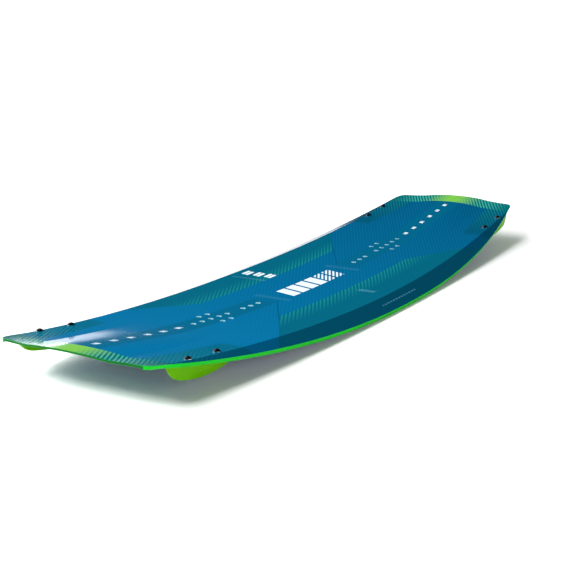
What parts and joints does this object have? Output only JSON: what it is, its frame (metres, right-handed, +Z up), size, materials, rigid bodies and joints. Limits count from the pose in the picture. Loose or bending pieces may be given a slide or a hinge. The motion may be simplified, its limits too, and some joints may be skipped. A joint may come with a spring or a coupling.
{
  "type": "wakeboard",
  "caption": "Twin-tip wakeboard: rockered foam-core sandwich with a bevelled deck, plastic sidewalls, threaded binding inserts and removable fins held by screws through the deck.",
  "frame": {"origin": "lowest point of the base, at the middle of the board", "axes": "+X towards the nose, +Y towards the left rail, +Z up out of the deck"},
  "size_m": [1.43, 0.4328, 0.0817],
  "materials": {
    "deck_print": "gloss printed sheet",
    "base_plastic": "gloss",
    "glass_laminate": "woven glass fibre in clear resin",
    "core_foam": "closed-cell foam",
    "dense_block": "dense filled resin",
    "sidewall_plastic": "smooth",
    "fin_plastic": "smooth moulded",
    "insert_metal": "turned",
    "washer_metal": "plain",
    "screw_black": "black coated",
    "nut_brass": "turned"
  },
  "bodies": {
    "board": {"top_sheet": "deck_print", "base_sheet": "base_plastic", "top_laminate": "glass_laminate", "foam_core": "core_foam", "base_laminate": "glass_laminate", "left_rail_sidewall": "sidewall_plastic", "right_rail_sidewall": "sidewall_plastic", "nose_tip_sidewall": "sidewall_plastic", "nose_insert_block": "dense_block", "nose_binding_inserts": "insert_metal", "tail_tip_sidewall": "sidewall_plastic", "tail_insert_block": "dense_block", "tail_binding_inserts": "insert_metal", "nose_left_fin_block": "dense_block", "nose_left_fin_washers": "washer_metal", "nose_right_fin_block": "dense_block", "nose_right_fin_washers": "washer_metal", "tail_left_fin_block": "dense_block", "tail_left_fin_washers": "washer_metal", "tail_right_fin_block": "dense_block", "tail_right_fin_washers": "washer_metal"},
    "nose_left_fin": {"nose_left_fin": "fin_plastic", "nose_left_fin_nuts": "nut_brass"},
    "nose_left_fin_screw_outer": {"nose_left_fin_screw_outer": "screw_black"},
    "nose_left_fin_screw_inner": {"nose_left_fin_screw_inner": "screw_black"},
    "nose_right_fin": {"nose_right_fin": "fin_plastic", "nose_right_fin_nuts": "nut_brass"},
    "nose_right_fin_screw_outer": {"nose_right_fin_screw_outer": "screw_black"},
    "nose_right_fin_screw_inner": {"nose_right_fin_screw_inner": "screw_black"},
    "tail_left_fin": {"tail_left_fin": "fin_plastic", "tail_left_fin_nuts": "nut_brass"},
    "tail_left_fin_screw_outer": {"tail_left_fin_screw_outer": "screw_black"},
    "tail_left_fin_screw_inner": {"tail_left_fin_screw_inner": "screw_black"},
    "tail_right_fin": {"tail_right_fin": "fin_plastic", "tail_right_fin_nuts": "nut_brass"},
    "tail_right_fin_screw_outer": {"tail_right_fin_screw_outer": "screw_black"},
    "tail_right_fin_screw_inner": {"tail_right_fin_screw_inner": "screw_black"}
  },
  "joints": [
    {"name": "nose_left_fin_screw_outer_turn", "type": "hinge", "parent": "board", "child": "nose_left_fin_screw_outer", "pos_m": [0.606, 0.15, 0.05953], "axis": [-0.1203, 0, 0.9927], "range_deg": [0, 2881]},
    {"name": "nose_left_fin_screw_inner_turn", "type": "hinge", "parent": "board", "child": "nose_left_fin_screw_inner", "pos_m": [0.531, 0.15, 0.05043], "axis": [-0.1203, 0, 0.9927], "range_deg": [0, 2881]},
    {"name": "nose_left_fin_slide", "type": "slide", "parent": "board", "child": "nose_left_fin", "axis": [0.1203, 0, -0.9927], "range_m": [0, 0.008]},
    {"name": "nose_right_fin_screw_outer_turn", "type": "hinge", "parent": "board", "child": "nose_right_fin_screw_outer", "pos_m": [0.606, -0.15, 0.05953], "axis": [-0.1203, 0, 0.9927], "range_deg": [0, 2881]},
    {"name": "nose_right_fin_screw_inner_turn", "type": "hinge", "parent": "board", "child": "nose_right_fin_screw_inner", "pos_m": [0.531, -0.15, 0.05043], "axis": [-0.1203, 0, 0.9927], "range_deg": [0, 2881]},
    {"name": "nose_right_fin_slide", "type": "slide", "parent": "board", "child": "nose_right_fin", "axis": [0.1203, 0, -0.9927], "range_m": [0, 0.008]},
    {"name": "tail_left_fin_screw_outer_turn", "type": "hinge", "parent": "board", "child": "tail_left_fin_screw_outer", "pos_m": [-0.606, 0.15, 0.05953], "axis": [0.1203, 0, 0.9927], "range_deg": [0, 2881]},
    {"name": "tail_left_fin_screw_inner_turn", "type": "hinge", "parent": "board", "child": "tail_left_fin_screw_inner", "pos_m": [-0.531, 0.15, 0.05043], "axis": [0.1203, 0, 0.9927], "range_deg": [0, 2881]},
    {"name": "tail_left_fin_slide", "type": "slide", "parent": "board", "child": "tail_left_fin", "axis": [-0.1203, 0, -0.9927], "range_m": [0, 0.008]},
    {"name": "tail_right_fin_screw_outer_turn", "type": "hinge", "parent": "board", "child": "tail_right_fin_screw_outer", "pos_m": [-0.606, -0.15, 0.05953], "axis": [0.1203, 0, 0.9927], "range_deg": [0, 2881]},
    {"name": "tail_right_fin_screw_inner_turn", "type": "hinge", "parent": "board", "child": "tail_right_fin_screw_inner", "pos_m": [-0.531, -0.15, 0.05043], "axis": [0.1203, 0, 0.9927], "range_deg": [0, 2881]},
    {"name": "tail_right_fin_slide", "type": "slide", "parent": "board", "child": "tail_right_fin", "axis": [-0.1203, 0, -0.9927], "range_m": [0, 0.008]}
  ],
  "couplings": [
    {"joint": "nose_left_fin_screw_outer_turn", "follows": "nose_left_fin_slide", "rad_per_m": 6283.2},
    {"joint": "nose_left_fin_screw_inner_turn", "follows": "nose_left_fin_slide", "rad_per_m": 6283.2},
    {"joint": "nose_right_fin_screw_outer_turn", "follows": "nose_right_fin_slide", "rad_per_m": 6283.2},
    {"joint": "nose_right_fin_screw_inner_turn", "follows": "nose_right_fin_slide", "rad_per_m": 6283.2},
    {"joint": "tail_left_fin_screw_outer_turn", "follows": "tail_left_fin_slide", "rad_per_m": 6283.2},
    {"joint": "tail_left_fin_screw_inner_turn", "follows": "tail_left_fin_slide", "rad_per_m": 6283.2},
    {"joint": "tail_right_fin_screw_outer_turn", "follows": "tail_right_fin_slide", "rad_per_m": 6283.2},
    {"joint": "tail_right_fin_screw_inner_turn", "follows": "tail_right_fin_slide", "rad_per_m": 6283.2}
  ]
}
